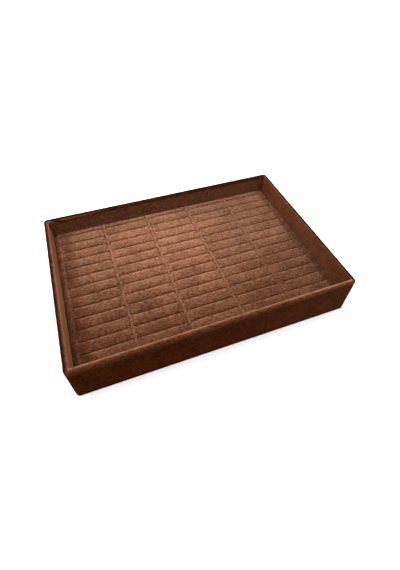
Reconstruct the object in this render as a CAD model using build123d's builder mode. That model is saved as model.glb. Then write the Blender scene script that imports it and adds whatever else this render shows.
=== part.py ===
from build123d import *

import os

# A display tray for jewellery: a frame of thin boards wrapped in velvet, with a slotted foam insert that
# lifts out. Millimetres, +Z up, origin at the middle of the underside, +Y towards the back.

# The tray over its cloth
tray_length = 350.0
tray_width = 244.0
tray_height = 55.5
corner_radius = 3.5
rim_outer_radius = 2.2
rim_inner_radius = 1.4
foot_radius = 1.5

# Boards and sheets of the tray
velvet = 0.7
wall_board_thickness = 4.0
wall_board_bevel = 1.0
base_board_thickness = 3.0
lining_thickness = 0.5
underside_thickness = 0.5
underside_inset = 2.0

# The fold of spare cloth in the back left inner corner
tuck_width = 8.0
tuck_thickness = 0.35
tuck_height = 22.0

# Brads of flat wire that pin the long walls to the ends of the short ones
brad_width = 1.0
brad_depth = 1.3
brad_length = 20.0
brad_head_width = 2.0
brad_head_thickness = 0.6
brad_set = 0.8
brad_clearance = 0.05
brad_height_shares = (0.25, 0.75)

# The insert
insert_recess = 24.5
insert_clearance = 0.7
insert_corner_radius = 4.0
insert_edge_radius = 3.5
foam_edge_bevel = 1.7
envelope_rise = 0.3
insert_board_thickness = 2.0
hem_width = 15.0

# Bars, slots and ribs of the insert's pad
slot_columns = 5
slot_rows = 14
side_border = 8.9
end_bar_width = 8.65
rib_width = 5.0
slot_gap = 0.6
slot_depth = 18.0
bar_crown = 0.5
edge_bevel = 1.2
shoulder_radius = 2.5

# Faces that follow from the sizes above
wall_thickness = wall_board_thickness + 2 * velvet
well_length = tray_length - 2 * wall_thickness
well_width = tray_width - 2 * wall_thickness
frame_length = tray_length - 2 * velvet
frame_width = tray_width - 2 * velvet
floor_length = frame_length - 2 * wall_board_thickness
floor_width = frame_width - 2 * wall_board_thickness
hem_z = underside_thickness
frame_z = hem_z + velvet
frame_height = tray_height - velvet - frame_z
floor_z = hem_z + base_board_thickness
insert_z = floor_z + lining_thickness
insert_length = well_length - 2 * insert_clearance
insert_width = well_width - 2 * insert_clearance
insert_board_z = insert_z + velvet
foam_z = insert_board_z + insert_board_thickness
pad_top = tray_height - insert_recess
shoulder_z = pad_top - bar_crown
slotted_length = insert_length - 2 * side_border
column_pitch = (slotted_length + rib_width) / slot_columns
row_pitch = (insert_width - 2 * end_bar_width) / (slot_rows - 1)
slot_length = column_pitch - rib_width

os.makedirs("parts", exist_ok=True)

# The ring of wall boards, before it is parted into four
with BuildPart() as wall_ring:
    with BuildSketch(Plane.XY.offset(frame_z)):
        RectangleRounded(frame_length, frame_width, corner_radius - velvet)
        Rectangle(floor_length, floor_width, mode=Mode.SUBTRACT)
    extrude(amount=frame_height)
    chamfer(wall_ring.faces().sort_by(Axis.Z)[-1].outer_wire().edges(), wall_board_bevel)

# Brads, driven through the long walls at the middle of the short walls' thickness
brad_x = (frame_length - wall_board_thickness) / 2
brad_points = [
    (side * brad_x, frame_z + share * frame_height) for side in (-1, 1) for share in brad_height_shares
]
inwards = (Align.CENTER, Align.CENTER, Align.MAX)
with BuildPart() as corner_brads:
    with Locations(Plane.XZ.offset(frame_width / 2 - brad_set)):
        with Locations(*brad_points):
            Box(brad_width, brad_depth, brad_length, align=inwards)
            Box(brad_head_width, brad_depth, brad_head_thickness, align=inwards)
    mirror(about=Plane.XZ)
corner_brads.part.label = "corner_brads"
export_step(corner_brads.part, "parts/corner_brads.step")

# What the brads take out of the boards, with their heads' way in from the outside
with BuildPart() as brad_holes:
    with Locations(Plane.XZ.offset(frame_width / 2)):
        with Locations(*brad_points):
            Box(
                brad_width + 2 * brad_clearance,
                brad_depth + 2 * brad_clearance,
                brad_set + brad_length + brad_clearance,
                align=inwards,
            )
            Box(
                brad_head_width + 2 * brad_clearance,
                brad_depth + 2 * brad_clearance,
                brad_set + brad_head_thickness + brad_clearance,
                align=inwards,
            )
    mirror(about=Plane.XZ)

# Long walls, full length
with BuildPart() as front_board:
    add(wall_ring.part)
    split(bisect_by=Plane.XZ.offset(floor_width / 2), keep=Keep.TOP)
    add(brad_holes.part, mode=Mode.SUBTRACT)
front_board.part.label = "front_board"
export_step(front_board.part, "parts/front_board.step")

with BuildPart() as back_board:
    mirror(front_board.part, about=Plane.XZ)
back_board.part.label = "back_board"
export_step(back_board.part, "parts/back_board.step")

# Short walls, between the long ones
with BuildPart() as right_board:
    add(wall_ring.part)
    split(bisect_by=Plane.YZ.offset(floor_length / 2), keep=Keep.TOP)
    split(bisect_by=Plane.XZ.offset(floor_width / 2), keep=Keep.BOTTOM)
    split(bisect_by=Plane.XZ.offset(-floor_width / 2), keep=Keep.TOP)
    add(brad_holes.part, mode=Mode.SUBTRACT)
right_board.part.label = "right_board"
export_step(right_board.part, "parts/right_board.step")

with BuildPart() as left_board:
    mirror(right_board.part, about=Plane.YZ)
left_board.part.label = "left_board"
export_step(left_board.part, "parts/left_board.step")

# Floor, let in between the walls
with BuildPart() as base_board:
    with BuildSketch(Plane.XY.offset(hem_z)):
        Rectangle(floor_length, floor_width)
    extrude(amount=base_board_thickness)
base_board.part.label = "base_board"
export_step(base_board.part, "parts/base_board.step")

# One strip of velvet round the frame: hem under the walls, up the outside, over the rim, down to the floor
with BuildPart() as wall_wrap:
    with BuildSketch(Plane.XY.offset(hem_z)):
        RectangleRounded(tray_length, tray_width, corner_radius)
        Rectangle(well_length, well_width, mode=Mode.SUBTRACT)
    extrude(amount=tray_height - hem_z)
    fillet(wall_wrap.faces().sort_by(Axis.Z)[-1].outer_wire().edges(), rim_outer_radius)
    fillet(wall_wrap.faces().sort_by(Axis.Z)[-1].inner_wires()[0].edges(), rim_inner_radius)
    fillet(wall_wrap.faces().sort_by(Axis.Z)[0].outer_wire().edges(), foot_radius)
    with BuildSketch(Plane.XZ.offset(-well_width / 2)):
        with BuildLine():
            Polyline(
                (-well_length / 2, tray_height - rim_inner_radius - tuck_height),
                (tuck_width - well_length / 2, tray_height - rim_inner_radius),
                (-well_length / 2, tray_height - rim_inner_radius),
                close=True,
            )
        make_face()
    extrude(amount=tuck_thickness)
    add(wall_ring.part, mode=Mode.SUBTRACT)
    add(base_board.part, mode=Mode.SUBTRACT)
wall_wrap.part.label = "wall_wrap"
export_step(wall_wrap.part, "parts/wall_wrap.step")

# Cloth on the floor inside the well
with BuildPart() as floor_lining:
    with BuildSketch(Plane.XY.offset(floor_z)):
        Rectangle(well_length, well_width)
    extrude(amount=lining_thickness)
floor_lining.part.label = "floor_lining"
export_step(floor_lining.part, "parts/floor_lining.step")

# Sheet over the underside, which the tray rests on
with BuildPart() as underside_cover:
    with BuildSketch():
        Rectangle(tray_length - 2 * underside_inset, tray_width - 2 * underside_inset)
    extrude(amount=underside_thickness)
underside_cover.part.label = "underside_cover"
export_step(underside_cover.part, "parts/underside_cover.step")


def bar_section(inset, rounding):
    """Section across the bars, drawn in by inset: crowned, with their edges drawn down to the slots."""
    half_gap = slot_gap / 2 + inset
    slot_z = pad_top - slot_depth - inset
    lip_z = shoulder_z - edge_bevel - inset
    slot_ys = [(row - (slot_rows - 1) / 2) * row_pitch for row in range(slot_rows)]
    starts = [inset - insert_width / 2] + [y + half_gap for y in slot_ys]
    ends = [y - half_gap for y in slot_ys] + [insert_width / 2 - inset]
    with BuildSketch(Plane.YZ) as section:
        for start, end in zip(starts, ends):
            near = (start + edge_bevel, shoulder_z - inset)
            far = (end - edge_bevel, shoulder_z - inset)
            with BuildLine():
                Polyline(near, (start, lip_z), (start, slot_z), (end, slot_z), (end, lip_z), far)
                ThreePointArc(far, ((start + end) / 2, pad_top - inset), near)
            make_face()
        if rounding > 0:
            fillet(section.vertices().group_by(Axis.Y)[-1], rounding)
    return section.sketch


def rib_section(inset, start, end):
    """Section across a rib of gathered cloth between two columns, or across the border beside one."""
    slot_z = pad_top - slot_depth - inset
    crest_z = shoulder_z - inset
    lip_z = crest_z - edge_bevel
    with BuildSketch(Plane.XZ) as section:
        with BuildLine():
            Polyline(
                (start, slot_z),
                (start, lip_z),
                (start + edge_bevel, crest_z),
                (end - edge_bevel, crest_z),
                (end, lip_z),
                (end, slot_z),
                close=True,
            )
        make_face()
    return section.sketch


def pad_form(inset, low, rounding):
    """The slotted pad from low up, drawn in by inset: bars, ribs, borders and the uncut part below them."""
    slot_z = pad_top - slot_depth - inset
    bar_half = slot_length / 2 - inset
    column_xs = [(column - (slot_columns - 1) / 2) * column_pitch for column in range(slot_columns)]
    ribs = [(left + bar_half, right - bar_half) for left, right in zip(column_xs, column_xs[1:])]
    border = (slotted_length / 2 - inset, insert_length / 2 - inset)
    with BuildPart() as bars:
        extrude(bar_section(inset, rounding), amount=bar_half, both=True)
    with BuildPart() as bands:
        for start, end in [*ribs, border, (-border[1], -border[0])]:
            extrude(rib_section(inset, start, end), amount=insert_width / 2 - inset, both=True)
        with BuildSketch(Plane.XY.offset(slot_z)):
            with GridLocations(column_pitch, row_pitch, slot_columns, slot_rows):
                Rectangle(slot_length + 2 * inset, slot_gap + 2 * inset)
        extrude(amount=slot_depth, mode=Mode.SUBTRACT)
    with BuildPart() as form:
        with BuildSketch(Plane.XY.offset(low)):
            Rectangle(insert_length - 2 * inset, insert_width - 2 * inset)
        extrude(amount=slot_z - low)
        with Locations(*[(x, 0, 0) for x in column_xs]):
            add(bars.part)
        add(bands.part)
    return form.part


def pad_outline(inset, low):
    """The block that the pad is cut from, before its edges are rounded, with rounded upright corners."""
    with BuildPart() as block:
        with BuildSketch(Plane.XY.offset(low)):
            RectangleRounded(
                insert_length - 2 * inset, insert_width - 2 * inset, insert_corner_radius - inset
            )
        extrude(amount=pad_top - inset + envelope_rise - low)
    return block.part


# Stiff board under the foam
with BuildPart() as insert_board:
    with BuildSketch(Plane.XY.offset(insert_board_z)):
        RectangleRounded(
            insert_length - 2 * velvet, insert_width - 2 * velvet, insert_corner_radius - velvet
        )
    extrude(amount=insert_board_thickness)
insert_board.part.label = "insert_board"
export_step(insert_board.part, "parts/insert_board.step")

# Sheet that closes the underside of the board, inside the cover's turned hem
with BuildPart() as insert_backing:
    with BuildSketch(Plane.XY.offset(insert_z)):
        Rectangle(insert_length - 2 * hem_width, insert_width - 2 * hem_width)
    extrude(amount=velvet)
insert_backing.part.label = "insert_backing"
export_step(insert_backing.part, "parts/insert_backing.step")

# Foam with a slit for each slot, wide enough for the two layers of cloth pushed into it
with BuildPart() as foam_outline:
    add(pad_outline(velvet, foam_z))
    chamfer(foam_outline.edges().group_by(Axis.Z)[-1], foam_edge_bevel)
with BuildPart() as foam_block:
    add(pad_form(velvet, foam_z, 0))
    add(foam_outline.part, mode=Mode.INTERSECT)
foam_block.part.label = "foam_block"
export_step(foam_block.part, "parts/foam_block.step")

# One piece of velvet over the foam, lining every slot, drawn down the sides and turned under the board
with BuildPart() as cover_outline:
    add(pad_outline(0, insert_z))
    fillet(cover_outline.edges().group_by(Axis.Z)[-1], insert_edge_radius)
with BuildPart() as velvet_cover:
    add(pad_form(0, insert_z, shoulder_radius))
    add(cover_outline.part, mode=Mode.INTERSECT)
    add(foam_block.part, mode=Mode.SUBTRACT)
    add(insert_board.part, mode=Mode.SUBTRACT)
    add(insert_backing.part, mode=Mode.SUBTRACT)
velvet_cover.part.label = "velvet_cover"
export_step(velvet_cover.part, "parts/velvet_cover.step")
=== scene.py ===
"""Looks of the jewellery tray: a velvet-wrapped frame of boards with a slotted velvet pad that lifts out.
Metres, +Z up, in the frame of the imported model. Millimetre sizes are written as a number times MM."""

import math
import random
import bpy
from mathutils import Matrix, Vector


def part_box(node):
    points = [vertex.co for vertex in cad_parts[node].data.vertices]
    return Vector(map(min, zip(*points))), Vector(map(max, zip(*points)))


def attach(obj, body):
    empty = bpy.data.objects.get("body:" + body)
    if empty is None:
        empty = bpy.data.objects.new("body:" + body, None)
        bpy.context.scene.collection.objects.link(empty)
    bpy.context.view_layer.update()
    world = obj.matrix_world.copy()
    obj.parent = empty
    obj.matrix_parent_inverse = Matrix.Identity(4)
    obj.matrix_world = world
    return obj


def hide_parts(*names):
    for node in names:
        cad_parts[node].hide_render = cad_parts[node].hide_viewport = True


bl_info = {
    "name": "Velvet Jewellery Tray",
    "version": (1, 0, 0),
    "blender": (4, 5, 0),
    "location": "View3D > Sidebar > Tray",
    "description": "Models the cloth and the finishes of a display tray and sets it on a studio floor",
    "category": "Object",
}

import bpy
import numpy as np
from bpy.props import FloatProperty, FloatVectorProperty, IntProperty, PointerProperty
from mathutils import Matrix, Vector, noise

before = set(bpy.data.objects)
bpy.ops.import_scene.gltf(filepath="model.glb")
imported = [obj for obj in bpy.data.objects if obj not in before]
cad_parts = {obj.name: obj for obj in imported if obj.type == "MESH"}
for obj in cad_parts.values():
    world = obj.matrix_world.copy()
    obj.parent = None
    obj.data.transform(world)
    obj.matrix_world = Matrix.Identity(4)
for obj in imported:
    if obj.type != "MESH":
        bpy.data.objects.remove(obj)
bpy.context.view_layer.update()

MM = 0.001
PHOTO_WIDTH = 400
PHOTO_HEIGHT = 570
# Pleats near the back left corner, in millimetres from the left wall and below the rim: the upper end, the
# lower end, the width and the rise
PLEATS = (
    ((1.0, 1.0), (6.0, 15.0), 0.8, 1.2),
    ((3.5, 1.0), (10.5, 12.0), 0.7, 0.95),
    ((6.5, 1.5), (14.5, 8.0), 0.6, 0.6),
    ((33.0, 5.0), (31.5, 19.0), 0.5, 0.2),
)


def number(name, description, default, **options):
    """A property for a number."""
    return FloatProperty(name=name, description=description, default=default, **options)


def length(name, description, millimetres):
    """A property for a length. Its default is given in millimetres and kept in metres."""
    return number(name, description, millimetres * MM, unit="LENGTH", precision=5)


def share(name, description, default):
    """A property for a share or an amount from 0 to 1."""
    return number(name, description, default, min=0, max=1, subtype="FACTOR")


def angle(name, description, degrees):
    """A property for an angle. Its default is given in degrees and kept in radians."""
    return number(name, description, math.radians(degrees), subtype="ANGLE")


def several(name, description, default, **options):
    """A property for a few numbers that belong together."""
    return FloatVectorProperty(name=name, description=description, default=default, **options)


def colour(name, description, default):
    """A property for a linear colour."""
    return several(name, description, default, min=0, max=1, subtype="COLOR")


def position(name, description, millimetres):
    """A property for a point in space. Its default is given in millimetres and kept in metres."""
    metres = [value * MM for value in millimetres]
    return several(name, description, metres, subtype="TRANSLATION", unit="LENGTH")


class PadSizes(bpy.types.PropertyGroup):
    """Sizes of the slotted velvet pad."""

    columns: IntProperty(name="Columns", description="Columns of slots", default=5, min=1)
    rows: IntProperty(name="Rows", description="Slots in each column", default=14, min=1)
    side_border: length("Side Border", "Cloth beside the outer columns", 8.9)
    end_bar: length("End Bar", "Half bar in front of the first slot and behind the last", 8.65)
    rib: length("Rib", "Gathered cloth between two columns", 5)
    gap: length("Slot Gap", "Width of a closed slot", 0.24)
    depth: length("Slot Depth", "Depth of a slot under the top", 18)
    pull: length("Slot Pull", "How far the slots hold the cloth below the bars", 0.6)
    lip_width: length("Lip Width", "How far in a bar's edge starts to round off", 1.3)
    lip_drop: length("Lip Drop", "How far a bar's edge drops at its slot", 0.75)
    edge_radius: length("Edge Radius", "Rounding along the pad's outer edge", 1.3)
    corner_radius: length("Corner Radius", "Rounding of the pad's upright corners", 1.6)
    border_fall: length("Border Fall", "How far the right border lies below the bars", 1.8)
    bulge: length("Bulge", "How far the cloth presses out towards the walls", 0.35)
    rib_crest: length("Rib Crest", "How far a rib's middle stands up", 0.55)
    rib_valley: length("Rib Valley", "Depth of the valleys beside a rib", 1.2)
    hem: length("Hem", "Cloth turned under the board", 15)
    cloth: length("Cloth", "Thickness of the velvet", 0.7)


class PuffSettings(bpy.types.PropertyGroup):
    """How the pad's cloth is puffed up over the foam."""

    bar_slack: share("Bar Slack", "Spare length of the cloth on the bars, as a share", 0.001)
    rib_slack: share("Rib Slack", "Spare length of the cloth in the ribs, as a share", 0.3)
    pressure: number("Pressure", "How hard the foam pushes the cloth up", 5)
    stretching: number("Stretching", "Stiffness of the cloth in its plane", 60)
    bending: number("Bending", "Stiffness of the cloth when it bends", 3)
    mass: number("Mass", "Mass at each point of the cloth", 0.02)
    frames: IntProperty(name="Frames", description="Length of the simulation", default=12, min=2)
    most: length("Most", "The furthest that a point may move", 3)


class WallSizes(bpy.types.PropertyGroup):
    """Sizes of the velvet strip round the walls."""

    corner_radius: length("Corner Radius", "Rounding of the upright outer corners", 4.8)
    inner_corner: length("Inner Corner", "Rounding of the cloth in the inner corners", 0.9)
    rim_outer: length("Rim Outside", "Rounding of the rim's outer edge", 2.1)
    rim_inner: length("Rim Inside", "Rounding of the rim's inner edge", 1.5)
    foot: length("Foot", "Rounding of the lower edge", 1.5)
    cloth: length("Cloth", "Thickness of the velvet", 0.7)
    skin: length("Skin", "Thickness that the modelled cloth has", 0.55)
    pile: length("Pile", "How far the pile stands out from the strip outside and on the rim", 0.7)
    # How much light is painted inside the left and the right wall, as a share of the lit copy of the colours
    left_nap: share("Left Nap", "How far the pile lies down inside the left wall", 1.0)
    right_nap: share("Right Nap", "How far the pile lies down inside the right wall", 0.43)
    # Brushed: how far the band of painted light reaches down the outside from the rim
    brushed: length("Brushed", "How far down the outside the pile is brushed from the rim", 8)
    lip: length("Loose Lip", "How far spare cloth sags from the back rim", 1.7)


class VelvetColours(bpy.types.PropertyGroup):
    """Colours of the velvets."""

    # Each velvet has a deep and a pile colour, mixed by its texture, and a sheen colour that is painted sheen
    # towards grazing angles
    pad_deep: colour("Pad Deep", "Pile of the pad, brushed away", (0.03, 0.0096, 0.004))
    pad_pile: colour("Pad Pile", "Pile of the pad, standing up", (0.108, 0.037, 0.0165))
    pad_sheen: colour("Pad Sheen", "Pile of the pad, seen along it", (0.274, 0.146, 0.092))
    # Painted shade: the pad's colours times this are their shaded copy, used where no light is painted
    pad_shade: share("Pad Shade", "How light the pad's pile is where it lies away from the light", 0.62)
    inner_deep: colour("Inner Deep", "Pile inside the walls, brushed away", (0.015, 0.0045, 0.0012))
    inner_pile: colour("Inner Pile", "Pile inside the walls, standing up", (0.114, 0.0405, 0.0172))
    inner_sheen: colour("Inner Sheen", "Pile inside the walls, seen along it", (0.16, 0.074, 0.039))
    # The outer colours are a darker, shaded copy of the inner ones: painted shade on the walls' outside, with
    # the inner ones as the lit copy
    outer_deep: colour("Outer Deep", "Pile outside the walls, brushed away", (0.0025, 0.0002, 0.0001))
    outer_pile: colour("Outer Pile", "Pile outside the walls, standing up", (0.033, 0.0045, 0.0009))
    outer_sheen: colour("Outer Sheen", "Pile outside the walls, seen along it", (0.088, 0.023, 0.007))


class StageSettings(bpy.types.PropertyGroup):
    """Floor, light and camera."""

    floor_colour: colour("Floor", "Colour of the floor", (0.93, 0.93, 0.93))
    key_power: number("Key", "Power of the key light", 2.3, min=0, unit="POWER")
    key_size: length("Key Size", "Width of the key light", 220)
    key_place: position("Key Place", "Place of the key light over the back of the tray", (-80, 140, 360))
    overhead: number("Overhead", "Strength of the broad light overhead", 0.6, min=0)
    overhead_spread: angle("Spread", "Angle that the broad light fills", 70)
    fill: number("Fill", "Strength of the light all round", 2.1, min=0)
    camera_place: position("Camera", "Place of the camera", (-106.55, -305.76, 385.34))
    camera_aim: position("Aim", "Point that the middle of the camera's view meets", (9.56, -19.59, 31))
    camera_roll: angle("Roll", "Turn of the camera about its view", 1.742)
    focal_pixels: number("Focal Length", "Focal length in pixels of the picture", 349.2, min=1)
    centre_pixel: several(
        "Centre Pixel", "Pixel that the camera points at, from the top left", (201.4, 269.9), size=2
    )


def arc(centre, radius, start, end, steps):
    """Points of an arc in a section, from start to end in degrees, both ends included."""
    angles = [math.radians(start + (end - start) * step / steps) for step in range(steps + 1)]
    return [(centre[0] + radius * math.cos(a), centre[1] + radius * math.sin(a)) for a in angles]


def even(start, end, step):
    """Values strictly between start and end, about step apart."""
    count = max(1, round(abs(end - start) / step))
    return [start + (end - start) * index / count for index in range(1, count)]


def smooth(low, high, value):
    """0 below low, 1 above high and a smooth climb between them."""
    t = np.clip((value - low) / (high - low), 0, 1)
    return t * t * (3 - 2 * t)


def climb(low, high, value):
    """The climb of smooth for lengths in metres, with low and high given in millimetres."""
    return smooth(low * MM, high * MM, value)


def bump(value, width):
    """1 at value 0, falling off over width."""
    return np.exp(-((value / width) ** 2))


def hill(value, middle, width):
    """A bump over lengths in metres, with its middle and width given in millimetres."""
    return bump(value - middle * MM, width * MM)


def drawn_through(places, values, wanted):
    """Smooth values at the wanted places, from rows of values at other places."""
    slopes = np.gradient(values, places, axis=0)
    index = np.clip(np.searchsorted(places, wanted) - 1, 0, len(places) - 2)
    run = (places[index + 1] - places[index])[:, None]
    t = (wanted - places[index])[:, None] / run
    start = values[index] * (1 + 2 * t) + slopes[index] * run * t
    end = values[index + 1] * (3 - 2 * t) + slopes[index + 1] * run * (t - 1)
    return start * (1 - t) ** 2 + end * t**2


def unevenness(x, y, z, size, seed):
    """Noise of about -1 to 1 at points given by arrays, with lumps of about size millimetres."""
    x, y, z = np.broadcast_arrays(x, y, z)
    scale = size * MM
    points = zip(x.ravel() / scale, y.ravel() / scale, z.ravel() / scale + seed)
    return np.array([noise.noise(Vector(point)) for point in points]).reshape(x.shape)


def far_from_line(x, y, start, end):
    """Distance of points from a straight stretch, and how far along it each lies, from 0 to 1."""
    run = (end[0] - start[0], end[1] - start[1])
    along = ((x - start[0]) * run[0] + (y - start[1]) * run[1]) / (run[0] ** 2 + run[1] ** 2)
    along = np.clip(along, 0, 1)
    return np.hypot(x - start[0] - along * run[0], y - start[1] - along * run[1]), along


def add_object(name, data):
    """A new object in the scene."""
    made = bpy.data.objects.new(name, data)
    bpy.context.scene.collection.objects.link(made)
    return made


def mesh_piece(name, points, faces):
    """A new smooth-shaded object at the origin, from an array of points and a list of faces."""
    mesh = bpy.data.meshes.new(name)
    mesh.from_pydata(points.tolist(), [], faces)
    mesh.validate()
    mesh.shade_smooth()
    return add_object(name, mesh)


def listed(*grids):
    """One row for each place of the grids, with their values side by side."""
    return np.stack([grid.ravel() for grid in grids], axis=1)


def grid_faces(rows, columns):
    """Faces of a grid of points."""
    index = np.arange(rows * columns).reshape(rows, columns)
    return listed(index[:-1, :-1], index[1:, :-1], index[1:, 1:], index[:-1, 1:]).tolist()


def set_attributes(piece, **attributes):
    """Stores one number for each point of the piece under each name, for its material to read."""
    for name, values in attributes.items():
        stored = piece.data.attributes.new(name, "FLOAT", "POINT")
        stored.data.foreach_set("value", np.asarray(values, dtype=np.float32))


def apply_modifiers(piece):
    """Applies the piece's modifiers in order."""
    bpy.ops.object.select_all(action="DESELECT")
    piece.select_set(True)
    bpy.context.view_layer.objects.active = piece
    for modifier in list(piece.modifiers):
        bpy.ops.object.modifier_apply(modifier=modifier.name)


def finish_with(piece, material, body):
    """Gives a new piece its material and its body."""
    piece.data.materials.append(material)
    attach(piece, body)


def node(tree, kind, values=None, **options):
    """A new shader node with its options, and with its inputs set to values or linked to outputs."""
    made = tree.nodes.new(kind)
    for option, value in options.items():
        setattr(made, option, value)
    for socket, value in (values or {}).items():
        if isinstance(value, bpy.types.NodeSocket):
            tree.links.new(value, made.inputs[socket])
        else:
            made.inputs[socket].default_value = value
    return made


def mix(tree, blend, factor, first, second):
    """A colour mix of two outputs or colours, with its factor an output or a number."""
    values = {0: factor, 6: first, 7: second}
    return node(tree, "ShaderNodeMix", values, data_type="RGBA", blend_type=blend).outputs[2]


def stretch(tree, value, low, high):
    """A value mapped so that low gives 0 and high gives 1."""
    values = {"Value": value, "From Min": low, "From Max": high}
    return node(tree, "ShaderNodeMapRange", values).outputs["Result"]


def turned(tree, vector, scale, degrees):
    """A vector scaled and turned about the three axes."""
    values = {"Vector": vector, "Scale": scale, "Rotation": [math.radians(turn) for turn in degrees]}
    return node(tree, "ShaderNodeMapping", values).outputs["Vector"]


def noise_value(tree, vector, scale, detail, roughness=0.5):
    """A noise pattern's value on a vector."""
    values = {"Vector": vector, "Scale": scale, "Detail": detail, "Roughness": roughness}
    return node(tree, "ShaderNodeTexNoise", values).outputs["Fac"]


def maths(tree, operation, first, second):
    """A sum of two outputs or numbers."""
    return node(tree, "ShaderNodeMath", {0: first, 1: second}, operation=operation).outputs[0]


def weighted_sum(tree, *terms):
    """The sum of outputs that are each multiplied by their weight."""
    total, *others = [maths(tree, "MULTIPLY", value, weight) for value, weight in terms]
    for other in others:
        total = maths(tree, "ADD", total, other)
    return total


def rgba(values):
    """A colour with full alpha."""
    return (*values, 1.0)


def new_group(name, inputs, outputs):
    """A shader node group with sockets by name and kind, and the sockets to read and to feed inside it."""
    tree = bpy.data.node_groups.new(name, "ShaderNodeTree")
    for direction, sockets in (("INPUT", inputs), ("OUTPUT", outputs)):
        for socket, kind in sockets.items():
            tree.interface.new_socket(socket, in_out=direction, socket_type="NodeSocket" + kind)
    return tree, tree.nodes.new("NodeGroupInput").outputs, tree.nodes.new("NodeGroupOutput").inputs


def new_material(name, values):
    """A new material with those values on its shader, its node tree and the shader's inputs."""
    material = bpy.data.materials.new(name)
    material.use_nodes = True
    shader = material.node_tree.nodes["Principled BSDF"].inputs
    for socket, value in values.items():
        shader[socket].default_value = value
    return material, material.node_tree, shader


def on_object(tree):
    """A point's place on the object."""
    return node(tree, "ShaderNodeTexCoord").outputs["Object"]


def attribute(tree, name):
    """The number that each point of the piece stores under a name."""
    return node(tree, "ShaderNodeAttribute", attribute_name=name).outputs["Fac"]


def relief(tree, height, strength, distance):
    """The surface's direction with a pattern's height on it."""
    values = {"Height": height, "Strength": strength, "Distance": distance}
    return node(tree, "ShaderNodeBump", values).outputs["Normal"]


def pile_group():
    """Short pile: brushed patches, mottling, faint strokes and fine grain, as a colour, a colour for the
    painted sheen and a height, with painted shade and painted highlights laid on both colours.
    """
    if "Pile" in bpy.data.node_groups:
        return bpy.data.node_groups["Pile"]
    colours = dict.fromkeys(("Deep", "Pile", "Sheen"), "Color")
    # Amounts of the strokes, of the painted shade and of the painted highlights, which the Crest input
    # carries
    amounts = dict.fromkeys(("Strokes", "Painted Shade", "Crest"), "Float")
    outputs = {"Colour": "Color", "Grazed": "Color", "Height": "Float"}
    tree, given, result = new_group("Pile", {"Vector": "Vector"} | colours | amounts, outputs)
    vector = given["Vector"]
    patches = stretch(tree, noise_value(tree, vector, 34, 3), 0.32, 0.68)
    mottling = stretch(tree, noise_value(tree, vector, 240, 3, 0.62), 0.38, 0.62)
    fine = turned(tree, vector, (0.55, 1.0, 1.0), (0, 0, -14))
    flecks = stretch(tree, noise_value(tree, fine, 640, 2, 0.6), 0.42, 0.58)
    grain = noise_value(tree, vector, 1500, 2)
    grain_lift = maths(tree, "SUBTRACT", grain, 0.5)
    brushed = turned(tree, vector, (1.0, 2.6, 3.4), (20, 24, 9))
    strokes = stretch(tree, noise_value(tree, brushed, 120, 3, 0.7), 0.56, 0.64)
    lifts = ((patches, 0.27), (mottling, 0.17), (flecks, 0.69), (grain_lift, 0.5))
    lift = weighted_sum(tree, *lifts, (strokes, given["Strokes"]))
    lift = stretch(tree, lift, 0.0, 1.0)
    for output, low, high in (("Colour", "Deep", "Pile"), ("Grazed", "Pile", "Sheen")):
        tint = mix(tree, "MIX", lift, given[low], given[high])
        # Painted shade darkens each colour towards a dark brown, and painted highlights lighten it
        folded = mix(tree, "MULTIPLY", given["Painted Shade"], tint, rgba((0.42, 0.27, 0.17)))
        with_painted_highlight = mix(tree, "SCREEN", given["Crest"], folded, rgba((0.15, 0.08, 0.05)))
        tree.links.new(with_painted_highlight, result[output])
    tree.links.new(weighted_sum(tree, (mottling, 0.6), (grain, 0.5)), result["Height"])
    return tree


def velvet(name, standing, lit, strokes, sheen, sheen_tint, most_seen_along=1.0):
    """Velvet with a sheen painted into its base colour towards grazing angles. standing and lit are shaded
    and lit copies of its deep, pile and sheen colours, mixed by the nap attribute, with painted shade and
    highlights."""
    values = {"Roughness": 0.85, "Specular IOR Level": 0.0, "Sheen Roughness": 0.42}
    values |= {"Sheen Weight": sheen, "Sheen Tint": rgba(sheen_tint)}
    material, tree, shader = new_material(name, values)
    nap, fold, crest = [attribute(tree, stored) for stored in ("nap", "fold", "crest")]
    given = {"Vector": on_object(tree), "Strokes": strokes, "Painted Shade": fold, "Crest": crest}
    # Where no light is painted the shaded copy of each colour stands, and where light is painted the lit copy
    for socket, shaded_tint, along in zip(("Deep", "Pile", "Sheen"), standing, lit):
        given[socket] = mix(tree, "MIX", nap, rgba(shaded_tint), rgba(along))
    cloth = node(tree, "ShaderNodeGroup", given, node_tree=pile_group()).outputs
    normal = relief(tree, cloth["Height"], 0.5, 0.35 * MM)
    # The sheen is painted into the base colour: towards grazing angles it moves to the grazed colour, less
    # where shade is painted
    grazing = node(tree, "ShaderNodeLayerWeight", {"Blend": 0.5, "Normal": normal})
    seen_along = stretch(tree, grazing.outputs["Facing"], 0.08, 0.62)
    seen_along = maths(tree, "MINIMUM", seen_along, most_seen_along)
    seen_along = maths(tree, "MULTIPLY", seen_along, stretch(tree, fold, 0.45, 0.0))
    sheened = mix(tree, "MIX", seen_along, cloth["Colour"], cloth["Grazed"])
    tree.links.new(sheened, shader["Base Color"])
    tree.links.new(normal, shader["Normal"])
    return material


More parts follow.
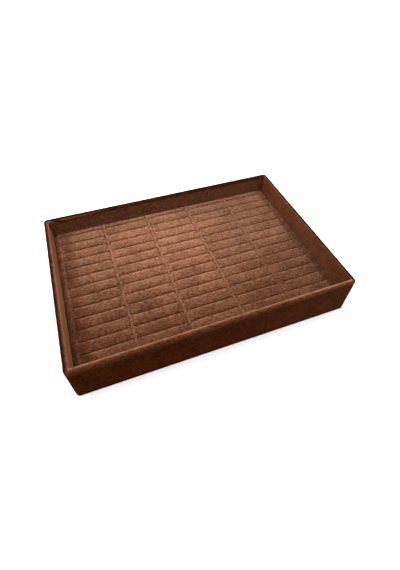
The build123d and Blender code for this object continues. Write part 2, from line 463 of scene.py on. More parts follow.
def fibre_group():
    """Pressed fibres: flecks drawn out along one direction, as a colour and a height."""
    if "Fibres" in bpy.data.node_groups:
        return bpy.data.node_groups["Fibres"]
    inputs = {"Vector": "Vector", "Dark": "Color", "Light": "Color", "Length": "Vector"}
    tree, given, result = new_group("Fibres", inputs, {"Colour": "Color", "Height": "Float"})
    drawn = node(tree, "ShaderNodeVectorMath", {0: given["Vector"], 1: given["Length"]}, operation="MULTIPLY")
    flecks = noise_value(tree, drawn.outputs["Vector"], 420, 4, 0.7)
    clouds = noise_value(tree, given["Vector"], 30, 2)
    amount = stretch(tree, weighted_sum(tree, (flecks, 0.75), (clouds, 0.25)), 0.3, 0.7)
    tree.links.new(mix(tree, "MIX", amount, given["Dark"], given["Light"]), result["Colour"])
    tree.links.new(flecks, result["Height"])
    return tree


def fibrous(name, dark, light, drawn_out, roughness, metallic=0.0):
    """A finish of pressed fibres, paper or brushed metal."""
    material, tree, shader = new_material(name, {"Roughness": roughness, "Metallic": metallic})
    given = {"Vector": on_object(tree), "Dark": rgba(dark), "Light": rgba(light), "Length": drawn_out}
    fibres = node(tree, "ShaderNodeGroup", given, node_tree=fibre_group()).outputs
    tree.links.new(fibres["Colour"], shader["Base Color"])
    tree.links.new(relief(tree, fibres["Height"], 0.4, 0.1 * MM), shader["Normal"])
    return material


def crowded_lines(half, marks, near, margin, step):
    """Grid lines from -half to half, crowded by near's offsets about each mark and margin's from the ends."""
    lines = {side * (half - offset) for side in (-1, 1) for offset in margin}
    lines |= {mark + side * offset for mark in marks for side in (-1, 1) for offset in near}
    kept = []
    for line in sorted(lines):
        if kept and line - kept[-1] < 0.02 * MM:
            continue
        if kept and line - kept[-1] > 1.5 * step:
            kept += even(kept[-1], line, step)
        kept.append(line)
    return np.array(kept)


def centred(count, pitch):
    """Places of a count of marks, a pitch apart, with their middle at 0."""
    return [(index - (count - 1) / 2) * pitch for index in range(count)]


def stations(ends, counts):
    """Places along a line: each stretch between two ends parted into its count of steps."""
    places = [ends[0]]
    for start, end, count in zip(ends, ends[1:], counts):
        places += [start + (end - start) * step / count for step in range(1, count + 1)]
    return np.array(places)


class PuffedCloth:
    """The pad's cloth, held down along the slots and the border and pushed up by the foam: a cloth simulation
    on a sheet with a point at each slot's ends."""

    # Steps of the sheet along a slot, across a rib, across a border and between two rows
    slot_steps, rib_steps, border_steps, row_steps = 26, 4, 6, 11
    # How near a slot or the border a point counts as on it
    near = 0.01 * MM

    def __init__(self, form, puff):
        self.form = form
        self.puff = puff
        across_ends = [-form.half[0]]
        for column in form.columns:
            across_ends += [column - form.slot_half, column + form.slot_half]
        counts = [self.border_steps] + [self.slot_steps, self.rib_steps] * len(form.columns)
        counts[-1] = self.border_steps
        self.xs = stations(across_ends + [form.half[0]], counts)
        counts = [self.border_steps] + [self.row_steps] * (len(form.rows) - 1) + [self.border_steps]
        self.ys = stations([-form.half[1], *form.rows, form.half[1]], counts)
        self.x, self.y = np.meshgrid(self.xs, self.ys, indexing="ij")

    def simulate(self):
        """Puffs the sheet up and gives how far each point went, as an array of x, y and z."""
        form, puff = self.form, self.puff
        across, along, beyond, column = form.places(self.x, self.y)
        edge = np.minimum(form.half[0] - np.abs(self.x), form.half[1] - np.abs(self.y))
        held = (np.abs(across) < self.near) & (beyond < self.near) | (edge < self.near)
        chance = np.random.default_rng(4)
        z = form.swell(across) + chance.uniform(-0.1, 0.1, self.x.shape) * MM
        z = np.where(held, -form.sizes.pull, z)
        points = listed(self.x, self.y, z)
        piece = mesh_piece("puffed cloth", points, grid_faces(*z.shape))
        pins = piece.vertex_groups.new(name="held")
        pins.add(np.flatnonzero(held).tolist(), 1.0, "REPLACE")
        spare = piece.vertex_groups.new(name="spare")
        gathered = climb(-3, 0.5, beyond) * form.strength(column, along)
        for index in np.flatnonzero(gathered > 0.01).tolist():
            spare.add([index], float(gathered.ravel()[index]), "REPLACE")
        cloth = piece.modifiers.new("Cloth", "CLOTH")
        settings = cloth.settings
        settings.quality = 5
        settings.mass = puff.mass
        settings.tension_stiffness = settings.compression_stiffness = puff.stretching
        settings.shear_stiffness = 5
        settings.bending_stiffness = puff.bending
        settings.use_pressure = True
        settings.uniform_pressure_force = puff.pressure
        settings.vertex_group_mass = "held"
        settings.vertex_group_shrink = "spare"
        settings.shrink_min = -puff.bar_slack
        settings.shrink_max = -puff.rib_slack
        settings.effector_weights.gravity = 0
        cloth.collision_settings.use_collision = False
        cloth.point_cache.frame_end = puff.frames
        for step in range(1, puff.frames + 1):
            bpy.context.scene.frame_set(step)
        apply_modifiers(piece)
        bpy.context.scene.frame_set(1)
        puffed = np.empty(points.size)
        piece.data.vertices.foreach_get("co", puffed)
        moved = puffed.reshape(points.shape)
        moved[:, :2] -= points[:, :2]
        bpy.data.meshes.remove(piece.data)
        return np.clip(moved, -puff.most, puff.most).reshape(*z.shape, 3)

    def field(self):
        """The sheet's shifts and heights on the pad's own grid."""
        form = self.form
        moved = self.simulate()
        fields = []
        for part in range(3):
            wide = drawn_through(self.xs, moved[..., part], form.xs)
            fields.append(drawn_through(self.ys, wide.T, form.ys).T)
        return fields


class PadForm:
    """The pad's top as a sheet over a grid that is crowded at the slots, with the painted shade, painted
    highlight and painted light of each point.
    """

    near_slot = [offset * MM for offset in (0, 0.08, 0.13, 0.3, 0.6, 1.0, 1.5, 2.2)]
    near_end = [offset * MM for offset in (0, 0.3, 0.5, 0.9, 1.4, 2.0, 2.5, 3.2, 4.2)]
    margin = [offset * MM for offset in (0, 0.15, 0.45, 0.9, 1.4, 2.2, 3.4)]
    # How strongly each rib and border is gathered, and how sharp each column's slots are, from left to right
    gather_shares = (1.0, 1.0, 0.9, 0.8, 0.45, 0.35)
    slot_shares = (1.0, 1.0, 0.95, 0.75, 0.65)
    # Middle and reach in millimetres of the patch of painted light on the pad
    lit_patch_middle = (-5, 24)
    lit_patch_reach = (90, 100)

    def __init__(self, sizes):
        low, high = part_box("velvet_cover")
        self.sizes = sizes
        self.foot = low[2]
        self.top = high[2]
        self.half = ((high[0] - low[0]) / 2, (high[1] - low[1]) / 2)
        slotted = 2 * (self.half[0] - sizes.side_border)
        self.column_pitch = (slotted + sizes.rib) / sizes.columns
        self.row_pitch = 2 * (self.half[1] - sizes.end_bar) / (sizes.rows - 1)
        self.slot_half = (self.column_pitch - sizes.rib) / 2
        self.columns = centred(sizes.columns, self.column_pitch)
        self.rows = centred(sizes.rows, self.row_pitch)
        ends = [column + side * self.slot_half for column in self.columns for side in (-1, 1)]
        self.xs = crowded_lines(self.half[0], ends, self.near_end, self.margin, 2.4 * MM)
        self.ys = crowded_lines(self.half[1], self.rows, self.near_slot, self.margin, 1.5 * MM)
        self.x, self.y = np.meshgrid(self.xs, self.ys, indexing="ij")

    def nearest(self, values, marks):
        """For each value, its offset from the nearest mark and the number of that mark."""
        offsets = values[..., None] - np.array(marks)
        index = np.abs(offsets).argmin(axis=-1)
        return np.take_along_axis(offsets, index[..., None], axis=-1)[..., 0], index

    def pucker(self, height, fold):
        """Adds creases that run from the ends of the slots along the ribs, each its own way, with painted
        shade in them.
        """
        chance = random.Random(7)
        for column_index, column in enumerate(self.columns):
            for side in (-1, 1):
                strength = self.gather_shares[column_index + (side + 1) // 2]
                for row in self.rows:
                    x = column + side * self.slot_half
                    end_x = x + side * chance.uniform(-0.6, 2.2) * MM
                    end_y = row + chance.choice((-1, -1, 1)) * chance.uniform(4, 9) * MM
                    depth = strength * chance.uniform(0.5, 1.7) * MM
                    window = (np.abs(self.x - x) < 6 * MM) & (np.abs(self.y - row) < 12 * MM)
                    near_x, near_y = self.x[window], self.y[window]
                    away, along = far_from_line(near_x, near_y, (x, row), (end_x, end_y))
                    crease = hill(away, 0, 0.95) * (1 - along) * np.minimum(1, 0.25 + 3 * along)
                    welt = hill(away, 1.9, 0.9) * (1 - along)
                    height[window] += depth * (0.45 * welt - crease)
                    fold[window] = np.maximum(fold[window], strength * 0.7 * crease)

    def places(self, x, y):
        """How points lie: across from the nearest slot, along it, beyond its end, and its column's number."""
        across, _ = self.nearest(y, self.rows)
        along, column = self.nearest(x, self.columns)
        return across, along, np.abs(along) - self.slot_half, column

    def strength(self, column, along):
        """How strongly the rib or border beside a point is gathered."""
        return np.array(self.gather_shares)[column + (along > 0)]

    def swell(self, across):
        """Height of a bar over the slots' pull, level in its middle."""
        to_middle = np.clip(np.abs(across) / (self.row_pitch / 2), 0, 1)
        return -self.sizes.pull * (1 - to_middle) ** 4

    def shape(self, height):
        """Heights of the top over those of the puffed cloth, with the painted shade and painted highlight of
        each point.
        """
        sizes = self.sizes
        across, along, beyond, column = self.places(self.x, self.y)
        strength = self.strength(column, along)
        from_slot = np.hypot(np.maximum(beyond, 0), across) - sizes.gap / 2
        # The valley on a rib's left side is the deeper one
        rib_side = np.where(along > 0, 0.6, 0.2)
        valley = hill(beyond, 0.4, 1.1) * strength * (0.7 + 0.5 * self.waves(4, 3))
        valley *= rib_side * (1 - 0.8 * hill(across, 0, 2.5))
        height = height - sizes.rib_valley * valley
        ridge = bump(beyond - sizes.rib / 2, 1.9 * MM) * strength * (0.8 + 0.5 * self.waves(6, 17))
        height += sizes.rib_crest * ridge
        height += 0.2 * MM * self.waves(13, 5)
        # The right border falls between the rounded ends of the bars, the left one only a little
        side = np.abs(self.x) - (self.half[0] - sizes.side_border)
        rounded = 2.4 * MM * np.sqrt(np.clip(np.abs(across) / (self.row_pitch / 2), 0, 1)) - 1.2 * MM
        rounded = np.where(self.x < 0, 2.5 * MM, rounded)
        fall = np.where(self.x < 0, 0.25, 1.0) * sizes.border_fall
        height -= fall * smooth(0, 0.55 * sizes.side_border, side - rounded)
        # Painted shade in the valleys beside the ribs
        fold = 0.5 * np.clip(valley, 0, 1)
        self.pucker(height, fold)
        # The slots are sharpest at the left and the front, and fade at their ends
        sharp = np.array(self.slot_shares)[column] * (0.85 + 0.3 * self.waves(20, 61))
        sharp = sharp * (1 - 0.35 * climb(-60, 110, self.y))
        sharp = sharp * (1 - 0.55 * climb(-5.5, 0, beyond))
        rounding = np.clip(from_slot / sizes.lip_width, 0, 1)
        height -= sizes.lip_drop * sharp * (1 - np.sqrt(1 - (1 - rounding) ** 2))
        # Painted shade inside the slots, on the bars' slopes beside them and near the walls
        beside = climb(4, 0.5, across) * (across > 0) * climb(1, -1, beyond)
        beside += 1.3 * climb(-2.3, -0.8, across) * (across < 0) * climb(0, -2, beyond)
        in_slot = 0.74 - 0.74 * climb(-0.1, 0.8, from_slot)
        fold = np.maximum(fold, sharp * np.maximum(0.12 * beside, in_slot))
        fold = np.maximum(fold, self.border_shade())
        # Painted highlight along the back edge of the bar in front of each slot, and along the ribs' ridges
        in_front = hill(across, -2.4, 1) * (beyond < 0.5 * MM)
        crest = 0.3 * in_front * sharp * (0.6 + 1.4 * self.waves(7, 71))
        crest = np.clip(np.maximum(crest, 0.13 * ridge), 0, 1)
        z = self.top - sizes.pull / 2 + height
        z = np.where(from_slot < -0.01 * MM, self.top - sizes.depth, z)
        return z, fold, crest

    def border_shade(self):
        """Painted shade on the pad near the walls: all round but at the back, most on the left border, and
        over the front right.
        """
        edge = np.minimum(self.half[0] - np.abs(self.x), self.half[1] + self.y)
        at_edge = 0.16 * climb(3, 0.8, edge)
        from_left = self.half[0] + self.x
        left = climb(30, 10, from_left) * (0.28 + 0.1 * climb(0, -50, self.y))
        left += 0.14 * climb(6, 1.5, from_left)
        right = climb(16, 8, self.half[0] - self.x) * (0.15 + 0.18 * climb(0, -80, self.y))
        beside = np.maximum(left, right) * (1 + 0.5 * self.waves(11, 37))
        far_right = 0.11 * climb(15, 75, self.x) * climb(10, -50, self.y)
        far_right *= 1 + self.waves(24, 43)
        return np.maximum(at_edge, np.maximum(beside, far_right))

    def nap(self):
        """Painted light on the pad, as a share of the lit copy of its colours: most in a lit patch near the
        middle and on the last row, a little more at the right back but less in one patch there, and patchy.
        """
        middle, reach = self.lit_patch_middle, self.lit_patch_reach
        lit = 0.8 * hill(self.x, middle[0], reach[0]) * hill(self.y, middle[1], reach[1])
        lit += 0.12 * climb(60, 120, self.x) * climb(-30, 50, self.y)
        lit -= 0.22 * hill(self.x, 78, 42) * hill(self.y, 90, 38)
        last = smooth(self.rows[-1] - 1 * MM, self.rows[-1] + 2 * MM, self.y)
        lit += 0.45 * self.waves(28, 83) + 0.5 * last
        return np.clip(lit, 0, 1)

    def waves(self, size, seed):
        """Unevenness over the pad's grid."""
        return unevenness(self.x, self.y, 0, size, seed)

    def round_corners(self, x, y):
        """Draws the grid's square corners into the pad's round ones, and gives the distance to its edge."""
        radius = self.sizes.corner_radius
        a = np.clip((np.abs(x) - self.half[0] + radius) / radius, 0, 1)
        b = np.clip((np.abs(y) - self.half[1] + radius) / radius, 0, 1)
        corner = (a > 0) & (b > 0)
        round_a = a * np.sqrt(1 - b * b / 2)
        round_b = b * np.sqrt(1 - a * a / 2)
        straight = np.minimum(self.half[0] - np.abs(x), self.half[1] - np.abs(y))
        edge = np.where(corner, radius * (1 - np.hypot(round_a, round_b)), straight)
        x = np.where(corner, np.sign(x) * (self.half[0] - radius + radius * round_a), x)
        y = np.where(corner, np.sign(y) * (self.half[1] - radius + radius * round_b), y)
        return x, y, edge

    def grid(self, puff):
        """Places of the top's points, with their painted shade and painted highlight."""
        sizes = self.sizes
        shift_x, shift_y, height = PuffedCloth(self, puff).field()
        z, fold, crest = self.shape(height)
        across, _ = self.nearest(self.y, self.rows)
        sway = 0.45 * MM * unevenness(self.x, self.y - across, 0, 22, 31)
        ribs = [column + side * self.column_pitch / 2 for column in self.columns for side in (-1, 1)]
        from_rib, _ = self.nearest(self.x, ribs)
        wander = unevenness(self.x - from_rib, self.y, 0, 10, 57)
        shift_x = shift_x + 0.9 * MM * wander * hill(from_rib, 0, 6)
        x, y, edge = self.round_corners(self.x, self.y)
        radius = sizes.edge_radius
        drop = radius - np.sqrt(radius**2 - (radius - np.clip(edge, 0, radius)) ** 2)
        inside = climb(0, 6, edge)
        shift_x = shift_x * inside + np.sign(x) * sizes.bulge * climb(4, 0, self.half[0] - np.abs(x))
        shift_y = (shift_y + sway) * inside
        shift_y += np.sign(y) * sizes.bulge * climb(4, 0, self.half[1] - np.abs(y))
        return x + shift_x, y + shift_y, z - drop, fold, crest


def pad_mesh(sizes, puff):
    """The whole pad: its slotted top, its sides, the hem turned under the board, and the foam's underside."""
    form = PadForm(sizes)
    x, y, z, fold, crest = form.grid(puff)
    points = listed(x, y, z)
    index = np.arange(x.size).reshape(x.shape)
    faces = grid_faces(*x.shape)
    loop = np.concatenate([index[:-1, 0], index[-1, :-1], index[:0:-1, -1], index[0, :0:-1]])
    rim = points[loop]
    board_low, board_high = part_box("insert_board")
    # Rings round the pad as (inset, height): down the sides, round the foot, along the hem and up to the foam
    foot = form.foot
    foot_radius = 1.2 * MM
    levels = [(0, height) for height in even(rim[:, 2].min(), foot + foot_radius, 3.5 * MM)]
    levels += [(0, foot + foot_radius), (0.35 * MM, foot + 0.35 * MM), (foot_radius, foot)]
    levels += [(5 * MM, foot), (10 * MM, foot), (sizes.hem - 0.3 * MM, foot), (sizes.hem, foot + sizes.cloth)]
    levels += [(sizes.cloth, board_low[2]), (sizes.cloth, board_high[2])]
    bulge = 0.0009 * (1 + unevenness(rim[:, 0], rim[:, 1], 0, 5, 41))
    side_height = 26 * MM
    rings = [loop]
    for inset, height in levels:
        ring = rim.copy()
        ring[:, :2] *= 1 - inset / np.array(form.half)
        ring[:, 2] = height
        if inset == 0:
            ring[:, :2] *= (1 - bulge * math.sin(math.pi * (height - foot) / side_height))[:, None]
        rings.append(np.arange(len(points), len(points) + len(ring)))
        points = np.concatenate([points, ring])
    for upper, lower in zip(rings, rings[1:]):
        faces += listed(upper, lower, np.roll(lower, -1), np.roll(upper, -1)).tolist()
    faces.append(rings[-1][::-1].tolist())
    piece = mesh_piece("pad_velvet", points, faces)
    # The sides and the hem are half in shade
    rest = np.zeros(len(points) - fold.size)
    grids = (fold, rest + 0.5), (crest, rest), (form.nap(), rest)
    fold, crest, nap = [np.concatenate([grid.ravel(), below]) for grid, below in grids]
    set_attributes(piece, fold=fold, crest=crest, nap=nap)
    return piece


def wall_section(sizes, thickness, low, high, floor):
    """Outer face of the strip as (inset, height): hem, foot, outside, rim and inside, down to the floor."""
    foot, outer, inner = sizes.foot, sizes.rim_outer, sizes.rim_inner
    points = [(thickness - sizes.cloth, low)] + [(inset, low) for inset in even(thickness, foot, 1.2 * MM)]
    points += arc((foot, low + foot), foot, 270, 180, 4)
    points += [(0, height) for height in even(low + foot, high - outer, 2.6 * MM)]
    points += arc((outer, high - outer), outer, 180, 90, 7)
    points += arc((thickness - inner, high - inner), inner, 90, 0, 6)
    # Inside, the grid is finer down to the pad
    fine_to = high - 16 * MM
    inside = even(high - inner, fine_to, 1.1 * MM) + [fine_to] + even(fine_to, floor, 2.6 * MM) + [floor]
    return points + [(thickness, height) for height in inside]


def wall_plan(sizes, half, inset):
    """Points of the rounded rectangle inset from the outer faces, counterclockwise from the front left."""
    radius = max(sizes.corner_radius - inset, sizes.inner_corner)
    reach = [size - inset - radius for size in half]
    # Steps along a long and a short wall, which are shorter towards the corners
    counts = (150, 104)
    points = []
    for turn, (sign_x, sign_y) in enumerate(((-1, -1), (1, -1), (1, 1), (-1, 1))):
        centre = (sign_x * reach[0], sign_y * reach[1])
        points += arc(centre, radius, 180 + 90 * turn, 270 + 90 * turn, 8)
        axis = turn % 2
        travel = (1, 0, -1, 0)[turn], (0, 1, 0, -1)[turn]
        start = Vector(points[-1])
        count = counts[axis]
        for step in range(1, count):
            t = step / count
            t -= 0.6 * math.sin(2 * math.pi * t) / (2 * math.pi)
            points.append(tuple(start + Vector(travel) * (2 * reach[axis] * t)))
    return points


def wall_mesh(sizes):
    """The velvet strip round the four walls, glued tight but for spare cloth at the back left corner."""
    low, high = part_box("wall_wrap")
    board_low, board_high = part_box("left_board")
    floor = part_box("floor_lining")[0][2]
    thickness = board_high[0] - board_low[0] + 2 * sizes.cloth
    half = ((high[0] - low[0]) / 2, (high[1] - low[1]) / 2)
    section = wall_section(sizes, thickness, low[2], high[2], floor)
    plan = np.array([wall_plan(sizes, half, inset) for inset, _ in section])
    x, y = plan[..., 0], plan[..., 1]
    inset, z = [np.repeat(values[:, None], x.shape[1], axis=1) for values in np.array(section).T]
    run = np.roll(plan, -1, axis=1) - np.roll(plan, 1, axis=1)
    run /= np.linalg.norm(run, axis=2)[..., None] + 1e-9
    facing = np.where(inset > thickness / 2, -1, 1) * np.minimum(1, np.abs(inset - thickness / 2) / (2 * MM))
    swell = 0.1 * MM * unevenness(x, y, z, 16, 3) + 0.06 * MM * unevenness(x, y, z, 5, 8)
    swell *= smooth(low[2], low[2] + 4 * MM, z)
    push = swell * facing + sizes.pile * smooth(0.8 * thickness, 0.2 * thickness, inset)
    x = x + run[..., 1] * push
    y = y - run[..., 0] * push
    inside_back = (inset > thickness / 2) & (y > half[1] - thickness - 1 * MM)
    depth = high[2] - z
    z = z + sizes.pile * climb(3, 0, depth)
    # Spare cloth hangs as a lip from the back rim, with a painted shadow under it, painted shade in the
    # corner and along the top inside, and a painted highlight on the lip
    left = x + half[0] - thickness
    lip = climb(11, 20, left) * (1 - climb(22, 95, left))
    lip *= np.where(depth < 2.2 * MM, 1, hill(depth, 2.2, 0.7)) * climb(0, 1, depth)
    lip *= 1 + 0.35 * unevenness(x, y, z, 9, 21)
    y = y - sizes.lip * lip * inside_back
    z = z - 0.35 * sizes.lip * lip * inside_back
    lip_shadow = climb(10, 17, left) * climb(45, 26, left) * hill(depth, 3.5, 1.1)
    corner_shade = climb(13, 3, np.hypot(left, 0.8 * depth))
    fold = np.maximum(lip_shadow, 0.7 * corner_shade) * inside_back
    top_shade = 0.5 * climb(3.6, 1.4, depth) * (1 - 0.8 * np.clip(lip, 0, 1))
    fold = np.maximum(fold, top_shade * inside_back)
    crest = 0.1 * lip * hill(depth, 1.8, 1) * inside_back
    # Pleats fan out from the corner, each with a painted highlight on it and painted shade beside it
    for top, foot, width, rise in PLEATS:
        away, along = far_from_line(left, depth, *([value * MM for value in end] for end in (top, foot)))
        fading = rise * (1 - 0.7 * along) * inside_back
        pleat = hill(away, 0, width) * fading
        y = y - MM * pleat
        crest = np.maximum(crest, 0.95 * pleat)
        fold = np.maximum(fold, 1.1 * hill(away, 2 * width, width) * fading)
    index = np.arange(x.size).reshape(x.shape)
    following = np.roll(index, -1, axis=1)
    faces = listed(index[:-1], following[:-1], following[1:], index[1:]).tolist()
    piece = mesh_piece("wall_velvet", listed(x, y, z), faces)
    # Painted light, as a share of the lit copy of the colours: in a band below the rim outside, on the rim
    # and inside the walls, less near the back rim and towards the back of the side walls
    walls = wall_shares(x, y, half)
    outside = climb(2.4, 0.3, inset)
    inside = smooth(thickness - 1.6 * MM, thickness - 0.1 * MM, inset)
    reach = sizes.brushed * (1 + 0.45 * unevenness(x, y, z, 13, 91))
    brushed = smooth(1, 0.1, depth / reach)
    blotches = 1 + 0.35 * unevenness(x, y, z, 15, 64)
    nap = outside * brushed * weighed(walls, (0.4, 0.25, 0.7, 0.25))
    right_nap = sizes.right_nap * (1 - 0.3 * climb(60, 115, np.abs(y + 5 * MM)))
    nap += inside * weighed(walls, (sizes.left_nap, right_nap, 1.0, 1.0)) * blotches
    on_rim = (1 - outside) * (1 - inside)
    middle = climb(2.6, 4.2, inset)
    nap += on_rim * weighed(walls, (0.65 * middle, 0.4 * middle, 0.4, 0))
    nap *= 1 - 0.5 * inside_back * climb(4.5, 2, depth)
    nap *= 1 - 0.5 * climb(-50, 110, y) * inside * (walls[0] + 0.5 * walls[1])
    # Painted light on the front wall's outside, more towards the right
    right = climb(-40, 160, x) * walls[2] * outside
    nap = np.maximum(nap, 0.22 * right * (1 + unevenness(x, y, z, 22, 47)))
    # Painted highlights along the rim's inner edge and inside the left wall, and painted shade on the rim's
    # rounded outer edge and at the foot
    edge = bump(inset - thickness + 1.1 * MM, 0.5 * MM) * (depth < 2 * MM)
    edge *= 0.8 + 0.6 * unevenness(x, y, z, 9, 29)
    front_edge = 0.85 + 0.7 * climb(60, 140, x)
    crest = np.maximum(crest, edge * weighed(walls, (0.12, 0.2, front_edge, 0.0)))
    crest = np.maximum(crest, 0.15 * inside * walls[0])
    rolled_rim_shade = climb(weighed(walls, (5.2, 5.0, 4.2, 5.4)), 2.7, inset) * climb(8, 3, depth)
    rolled_rim_shade *= weighed(walls, (0.62, 0.9, 0.1, 1.0))
    foot_shade = 0.45 * outside * climb(7, 1, z - low[2])
    fold = np.maximum(np.maximum(fold, rolled_rim_shade), foot_shade)
    set_attributes(
        piece, crest=crest.ravel(), nap=np.clip(nap, 0, 1).ravel(), fold=np.clip(fold, 0, 1).ravel()
    )
    return piece, section


def wall_shares(x, y, half):
    """How far each point belongs to the left, right, front and back wall, parted at the mitres."""
    beside = climb(-2, 2, (half[1] - np.abs(y)) - (half[0] - np.abs(x)))
    return beside * (x < 0), beside * (x > 0), (1 - beside) * (y < 0), (1 - beside) * (y > 0)


def weighed(walls, values):
    """One value for each wall, spread over the points by their shares."""
    return sum(value * share_here for value, share_here in zip(values, walls))


def tints(colours, part):
    """The deep, pile and sheen colours of one part's velvet."""
    return [Vector(getattr(colours, f"{part}_{tone}")) for tone in ("deep", "pile", "sheen")]


def skin(piece, thickness):
    """Gives a sheet its thickness, inwards from the modelled face."""
    modifier = piece.modifiers.new("Thickness", "SOLIDIFY")
    modifier.thickness = thickness
    modifier.offset = -1
    modifier.use_even_offset = True
    apply_modifiers(piece)


class TRAY_OT_pad_velvet(bpy.types.Operator):
    """Models the slotted velvet pad with its foam"""

    bl_idname = "tray.pad_velvet"
    bl_label = "Velvet Pad"

    def execute(self, context):
        colours = context.scene.tray_colours
        piece = pad_mesh(context.scene.tray_pad, context.scene.tray_puff)
        pad = tints(colours, "pad")
        # The shaded copy of the pad's colours stands where no light is painted on it
        shaded = [colours.pad_shade * tint for tint in pad]
        cloth = velvet("insert velvet", shaded, pad, 0.22, 0.04, (1.0, 0.6, 0.45), 0.62)
        finish_with(piece, cloth, "insert")
        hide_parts("velvet_cover", "foam_block")
        return {"FINISHED"}


class TRAY_OT_wall_velvet(bpy.types.Operator):
    """Models the velvet strip round the walls"""

    bl_idname = "tray.wall_velvet"
    bl_label = "Wall Velvet"

    def execute(self, context):
        sizes = context.scene.tray_walls
        colours = context.scene.tray_colours
        piece, section = wall_mesh(sizes)
        skin(piece, sizes.skin)
        outer, inner = tints(colours, "outer"), tints(colours, "inner")
        # The outer colours are the shaded copy and the inner ones the lit copy
        cloth = velvet("tray velvet", outer, inner, 1.6, 0.03, (1.0, 0.45, 0.25))
        finish_with(piece, cloth, "tray")
        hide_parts("wall_wrap")
        return {"FINISHED"}


class TRAY_OT_floor_cloth(bpy.types.Operator):
    """Lays the cloth on the floor of the well"""

    bl_idname = "tray.floor_cloth"
    bl_label = "Floor Cloth"

    def execute(self, context):
        low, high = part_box("floor_lining")
        bpy.ops.object.select_all(action="DESELECT")
        bpy.ops.mesh.primitive_grid_add(x_subdivisions=110, y_subdivisions=76, size=1)
        piece = context.active_object
        piece.name = piece.data.name = "floor_cloth"
        size = (high[0] - low[0], high[1] - low[1])
        piece.data.transform(Matrix.Diagonal((*size, 1, 1)))
        for vertex in piece.data.vertices:
            ripple = noise.noise(vertex.co / (14 * MM))
            vertex.co.z = high[2] - 0.12 * MM + 0.08 * MM * ripple
        piece.data.shade_smooth()
        skin(piece, 0.3 * MM)
        inner = tints(context.scene.tray_colours, "inner")
        cloth = velvet("lining cloth", inner, inner, 0.2, 0.2, (1.0, 0.5, 0.3))
        finish_with(piece, cloth, "tray")
        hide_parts("floor_lining")
        return {"FINISHED"}


class TRAY_OT_board_finishes(bpy.types.Operator):
    """Finishes the boards, the brads and the sheets under the tray and the pad"""

    bl_idname = "tray.board_finishes"
    bl_label = "Board Finishes"

    def execute(self, context):
        boards = ("base_board", "front_board", "back_board", "left_board", "right_board")
        self.cover(boards, "fibreboard", (0.3, 0.19, 0.11), (0.5, 0.36, 0.23), (1.0, 1.0, 2.2), 0.85)
        steel = ((0.48, 0.48, 0.5), (0.64, 0.64, 0.65), (0.3, 3.0, 3.0), 0.35, 1.0)
        self.cover(["corner_brads"], "bright steel", *steel)
        greyboard = ((0.29, 0.275, 0.25), (0.45, 0.43, 0.4), (0.8, 1.2, 1.5), 0.9)
        self.cover(["insert_board"], "greyboard", *greyboard)
        dark_sheet = ((0.018, 0.015, 0.013), (0.045, 0.038, 0.034), (0.5, 1.6, 1.0), 0.8)
        self.cover(["underside_cover"], "dark underside sheet", *dark_sheet)
        paper = ((0.035, 0.029, 0.026), (0.07, 0.06, 0.055), (0.6, 1.4, 1.0), 0.75)
        self.cover(["insert_backing"], "dark backing paper", *paper)
        return {"FINISHED"}

    def cover(self, names, *look):
        """Gives the nodes of those names one finish in place of their own."""
        material = fibrous(*look)
        for name in names:
            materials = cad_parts[name].data.materials
            materials.clear()
            materials.append(material)


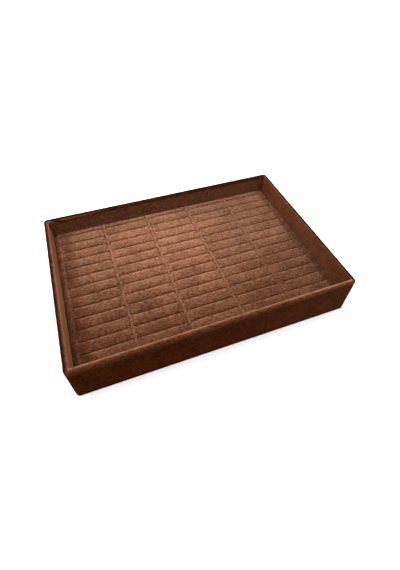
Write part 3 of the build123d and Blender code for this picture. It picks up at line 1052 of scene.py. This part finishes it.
class TRAY_OT_stage(bpy.types.Operator):
    """Sets up the floor, the light and the camera"""

    bl_idname = "tray.stage"
    bl_label = "Stage"

    def execute(self, context):
        stage = context.scene.tray_stage
        self.add_floor(context, stage)
        self.add_key_light(stage)
        self.add_overhead_light(stage)
        self.add_surroundings(context, stage)
        context.scene.view_settings.view_transform = "Standard"
        self.add_camera(context, stage)
        return {"FINISHED"}

    def add_floor(self, context, stage):
        """A plain pale floor under the tray."""
        bpy.ops.object.select_all(action="DESELECT")
        bpy.ops.mesh.primitive_plane_add(size=14)
        floor = context.active_object
        floor.name = "floor"
        paint, _, _ = new_material("pale floor", {"Base Color": rgba(stage.floor_colour), "Roughness": 0.9})
        floor.data.materials.append(paint)
        floor.visible_diffuse = False

    def add_surroundings(self, context, stage):
        """Light all round that fades out below the horizon, against a plain white background."""
        world = bpy.data.worlds.new("studio")
        context.scene.world = world
        world.use_nodes = True
        tree = world.node_tree
        surroundings = tree.nodes["Background"]
        surroundings.inputs["Color"].default_value = rgba((1, 1, 1))
        direction = node(tree, "ShaderNodeTexCoord").outputs["Generated"]
        height = node(tree, "ShaderNodeSeparateXYZ", {"Vector": direction}).outputs["Z"]
        limits = {"Value": height, "From Min": -0.1, "From Max": 0.9, "To Max": stage.fill}
        fade = node(tree, "ShaderNodeMapRange", limits).outputs["Result"]
        seen = node(tree, "ShaderNodeLightPath").outputs["Is Camera Ray"]
        strength = node(tree, "ShaderNodeMix", {"Factor": seen, "A": fade, "B": 1.0})
        tree.links.new(strength.outputs["Result"], surroundings.inputs["Strength"])

    def add_key_light(self, stage):
        """A square soft light that faces the tray."""
        light = bpy.data.lights.new("key light", "AREA")
        light.energy = stage.key_power
        light.size = stage.key_size
        lamp = add_object("key light", light)
        lamp.location = stage.key_place
        lamp.rotation_euler = (-Vector(stage.key_place)).to_track_quat("-Z", "Y").to_euler()
        lamp.visible_camera = False

    def add_overhead_light(self, stage):
        """A broad light straight down, the same all over the floor."""
        light = bpy.data.lights.new("overhead light", "SUN")
        light.energy = stage.overhead
        light.angle = stage.overhead_spread
        add_object("overhead light", light).location = (0, 0, 2)

    def add_camera(self, context, stage):
        """The camera at the picture's place, with its roll and its centre."""
        lens = bpy.data.cameras.new("camera")
        lens.lens = stage.focal_pixels / PHOTO_HEIGHT * lens.sensor_width
        lens.shift_x = (PHOTO_WIDTH / 2 - stage.centre_pixel[0]) / PHOTO_HEIGHT
        lens.shift_y = (stage.centre_pixel[1] - PHOTO_HEIGHT / 2) / PHOTO_HEIGHT
        lens.clip_start = 0.01
        camera = add_object("camera", lens)
        place = Vector(stage.camera_place)
        aim = (Vector(stage.camera_aim) - place).to_track_quat("-Z", "Y")
        roll = Matrix.Rotation(stage.camera_roll, 4, "Z")
        camera.matrix_world = Matrix.Translation(place) @ aim.to_matrix().to_4x4() @ roll
        context.scene.camera = camera


class VIEW3D_PT_tray(bpy.types.Panel):
    """Lists the steps that make the tray"""

    bl_label = "Jewellery Tray"
    bl_space_type = "VIEW_3D"
    bl_region_type = "UI"
    bl_category = "Tray"

    def draw(self, context):
        for step in steps:
            self.layout.operator(step.bl_idname)
        for group in groups:
            settings = getattr(context.scene, group)
            box = self.layout.box()
            for name in settings.__annotations__:
                box.prop(settings, name)


steps = (TRAY_OT_pad_velvet, TRAY_OT_wall_velvet, TRAY_OT_floor_cloth, TRAY_OT_board_finishes, TRAY_OT_stage)
groups = {
    "tray_pad": PadSizes,
    "tray_puff": PuffSettings,
    "tray_walls": WallSizes,
    "tray_colours": VelvetColours,
    "tray_stage": StageSettings,
}


def register():
    """Registers the classes and the scene's settings."""
    for made in (*groups.values(), *steps, VIEW3D_PT_tray):
        bpy.utils.register_class(made)
    for name, group in groups.items():
        setattr(bpy.types.Scene, name, PointerProperty(type=group))


def unregister():
    """Takes the settings and the classes away again."""
    for name in groups:
        delattr(bpy.types.Scene, name)
    for made in reversed((*groups.values(), *steps, VIEW3D_PT_tray)):
        bpy.utils.unregister_class(made)


def main():
    """Makes the tray."""
    register()
    bpy.ops.tray.pad_velvet()
    bpy.ops.tray.wall_velvet()
    bpy.ops.tray.floor_cloth()
    bpy.ops.tray.board_finishes()
    bpy.ops.tray.stage()


if __name__ == "__main__":
    main()
